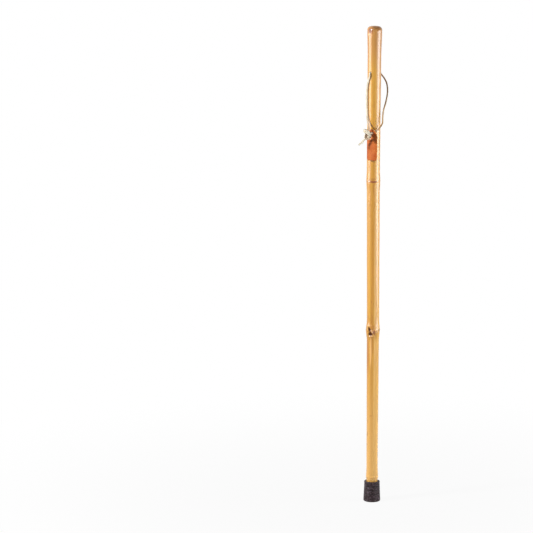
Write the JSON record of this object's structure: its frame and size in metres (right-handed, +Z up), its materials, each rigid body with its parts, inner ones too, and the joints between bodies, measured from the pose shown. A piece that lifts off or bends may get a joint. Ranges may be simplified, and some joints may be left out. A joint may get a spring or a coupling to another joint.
{
  "type": "hiking staff",
  "caption": "Bamboo hiking staff with swollen nodes, a domed crown, a rubber ferrule on its foot and a knotted leather wrist lace that carries a leather tag.",
  "frame": {"origin": "centre of the ferrule's base, on the ground", "axes": "+Z up the staff, -Y towards the front that the picture shows, +X to the right of that front"},
  "size_m": [0.0736, 0.0665, 1.219],
  "materials": {
    "culm": "lacquered bamboo, glossy",
    "ferrule_rubber": "moulded, satin",
    "washer_steel": "zinc plated",
    "lace_leather": "suede",
    "tag_leather": "vegetable tanned, smooth"
  },
  "bodies": {
    "staff": {"staff": "culm"},
    "ferrule": {"ferrule": "ferrule_rubber", "ferrule_washer": "washer_steel"},
    "lanyard": {"lace_front": "lace_leather", "lace_in_bore": "lace_leather", "lace_back": "lace_leather"},
    "tag": {"tag": "tag_leather"}
  },
  "joints": [
    {"name": "lanyard_swing", "type": "hinge", "parent": "staff", "child": "lanyard", "pos_m": [-0.004, 0, 1.103], "axis": [-0.6018, -0.7986, 0], "range_deg": [0, 150]},
    {"name": "tag_swivel", "type": "hinge", "parent": "lanyard", "child": "tag", "pos_m": [-0.00868, -0.02187, 0.952], "axis": [-0.4226, -0.9063, 0], "range_deg": [-60, 60]},
    {"name": "ferrule_pull", "type": "slide", "parent": "staff", "child": "ferrule", "axis": [0, 0, -1], "range_m": [0, 0.06]}
  ]
}
